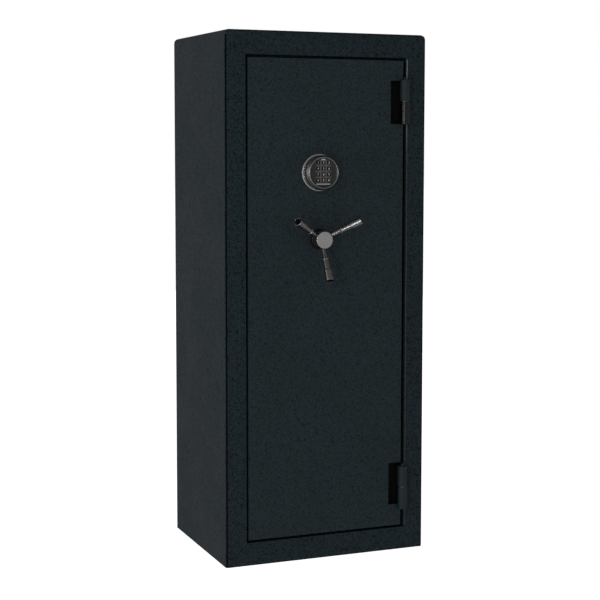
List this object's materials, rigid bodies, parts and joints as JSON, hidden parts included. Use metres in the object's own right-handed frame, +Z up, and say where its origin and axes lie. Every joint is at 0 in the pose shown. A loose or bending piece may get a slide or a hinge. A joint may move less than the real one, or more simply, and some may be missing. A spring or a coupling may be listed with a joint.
{
  "type": "gun safe",
  "caption": "Upright fire-lined gun safe with one door on external barrel hinges, a round keypad lock and a three-spoke handle that throws the door bolts.",
  "frame": {"origin": "centre of the body's footprint on the floor, which is the centre of the four anchor holes", "axes": "+X to the right across the door, +Y into the safe, +Z up"},
  "size_m": [0.61, 0.5734, 1.5],
  "materials": {
    "body_paint": "satin hammered powder coat",
    "door_paint": "satin hammered powder coat",
    "hinge_paint": "satin powder coat",
    "bare_steel": "machined",
    "inner_steel": "matt black paint",
    "hard_steel": "ground",
    "satin_nickel": "satin nickel plate",
    "dark_chrome": "dark chrome plate",
    "brass": "turned",
    "fireboard": "gypsum board",
    "carpet": "looped carpet on board",
    "pocket_cloth": "woven pocket cloth",
    "seal": "matt seal strip",
    "keypad_black": "moulded",
    "key_rubber": "moulded key",
    "light_lens": "translucent lens",
    "tray_plastic": "moulded",
    "battery_case": "printed can",
    "cable_jacket": "cable jacket"
  },
  "bodies": {
    "safe_body": {"body_wrap": "body_paint", "front_frame": "body_paint", "back_panel": "body_paint", "floor_plate": "body_paint", "door_jamb": "body_paint", "door_seal": "seal", "wall_fireboards": "fireboard", "floor_fireboard": "fireboard", "wall_liners": "carpet", "floor_liner": "carpet", "shelf_standards": "bare_steel", "shelf_clips": "bare_steel", "top_shelf": "carpet", "side_shelves": "carpet", "divider": "carpet", "barrel_rack": "carpet", "stock_rest": "carpet", "frame_knuckles": "hinge_paint", "hinge_pins": "hinge_paint", "hinge_washers": "hard_steel"},
    "door": {"door_plate": "door_paint", "door_fireboard": "fireboard", "bolt_box": "inner_steel", "dead_bolts": "bare_steel", "door_cover": "carpet", "door_pockets": "pocket_cloth", "cover_screws": "bare_steel", "door_knuckles": "hinge_paint", "hard_plate": "hard_steel", "lock_case": "bare_steel", "lock_screws": "hard_steel", "keypad_cable": "cable_jacket", "shaft_bushings": "brass", "handle_boss": "dark_chrome", "keypad_base": "satin_nickel", "keypad_housing": "satin_nickel", "keypad_face": "keypad_black", "keypad_light": "light_lens"},
    "handle": {"handle_hub": "satin_nickel", "handle_spokes": "satin_nickel", "handle_shaft": "bare_steel", "drive_pinion": "hard_steel", "shaft_ring": "hard_steel"},
    "carriage": {"bolt_carriage": "inner_steel", "live_bolts": "bare_steel"},
    "lock_bolt": {"lock_bolt": "brass"},
    "battery_drawer": {"battery_tray": "tray_plastic", "battery": "battery_case"},
    "key_1": {"key_1": "key_rubber"},
    "key_2": {"key_2": "key_rubber"},
    "key_3": {"key_3": "key_rubber"},
    "key_4": {"key_4": "key_rubber"},
    "key_5": {"key_5": "key_rubber"},
    "key_6": {"key_6": "key_rubber"},
    "key_7": {"key_7": "key_rubber"},
    "key_8": {"key_8": "key_rubber"},
    "key_9": {"key_9": "key_rubber"},
    "key_star": {"key_star": "key_rubber"},
    "key_0": {"key_0": "key_rubber"},
    "key_hash": {"key_hash": "key_rubber"}
  },
  "joints": [
    {"name": "door_swing", "type": "hinge", "parent": "safe_body", "child": "door", "pos_m": [0.233, -0.255, 0.7465], "axis": [0, 0, 1], "range_deg": [0, 175]},
    {"name": "handle_turn", "type": "hinge", "parent": "door", "child": "handle", "pos_m": [-0.026, -0.2405, 0.9195], "axis": [0, -1, 0], "range_deg": [0, 90]},
    {"name": "carriage_slide", "type": "slide", "parent": "door", "child": "carriage", "axis": [-1, 0, 0], "range_m": [0, 0.0252]},
    {"name": "lock_bolt_slide", "type": "slide", "parent": "door", "child": "lock_bolt", "axis": [0, 0, -1], "range_m": [0, 0.009]},
    {"name": "battery_slide", "type": "slide", "parent": "door", "child": "battery_drawer", "axis": [0, 0, -1], "range_m": [0, 0.05]},
    {"name": "key_1_press", "type": "slide", "parent": "door", "child": "key_1", "axis": [0, 1, 0], "range_m": [0, 0.001], "stiffness_N_per_m": 600},
    {"name": "key_2_press", "type": "slide", "parent": "door", "child": "key_2", "axis": [0, 1, 0], "range_m": [0, 0.001], "stiffness_N_per_m": 600},
    {"name": "key_3_press", "type": "slide", "parent": "door", "child": "key_3", "axis": [0, 1, 0], "range_m": [0, 0.001], "stiffness_N_per_m": 600},
    {"name": "key_4_press", "type": "slide", "parent": "door", "child": "key_4", "axis": [0, 1, 0], "range_m": [0, 0.001], "stiffness_N_per_m": 600},
    {"name": "key_5_press", "type": "slide", "parent": "door", "child": "key_5", "axis": [0, 1, 0], "range_m": [0, 0.001], "stiffness_N_per_m": 600},
    {"name": "key_6_press", "type": "slide", "parent": "door", "child": "key_6", "axis": [0, 1, 0], "range_m": [0, 0.001], "stiffness_N_per_m": 600},
    {"name": "key_7_press", "type": "slide", "parent": "door", "child": "key_7", "axis": [0, 1, 0], "range_m": [0, 0.001], "stiffness_N_per_m": 600},
    {"name": "key_8_press", "type": "slide", "parent": "door", "child": "key_8", "axis": [0, 1, 0], "range_m": [0, 0.001], "stiffness_N_per_m": 600},
    {"name": "key_9_press", "type": "slide", "parent": "door", "child": "key_9", "axis": [0, 1, 0], "range_m": [0, 0.001], "stiffness_N_per_m": 600},
    {"name": "key_star_press", "type": "slide", "parent": "door", "child": "key_star", "axis": [0, 1, 0], "range_m": [0, 0.001], "stiffness_N_per_m": 600},
    {"name": "key_0_press", "type": "slide", "parent": "door", "child": "key_0", "axis": [0, 1, 0], "range_m": [0, 0.001], "stiffness_N_per_m": 600},
    {"name": "key_hash_press", "type": "slide", "parent": "door", "child": "key_hash", "axis": [0, 1, 0], "range_m": [0, 0.001], "stiffness_N_per_m": 600}
  ],
  "couplings": [
    {"joint": "carriage_slide", "follows": "handle_turn", "m_per_rad": 0.016}
  ]
}
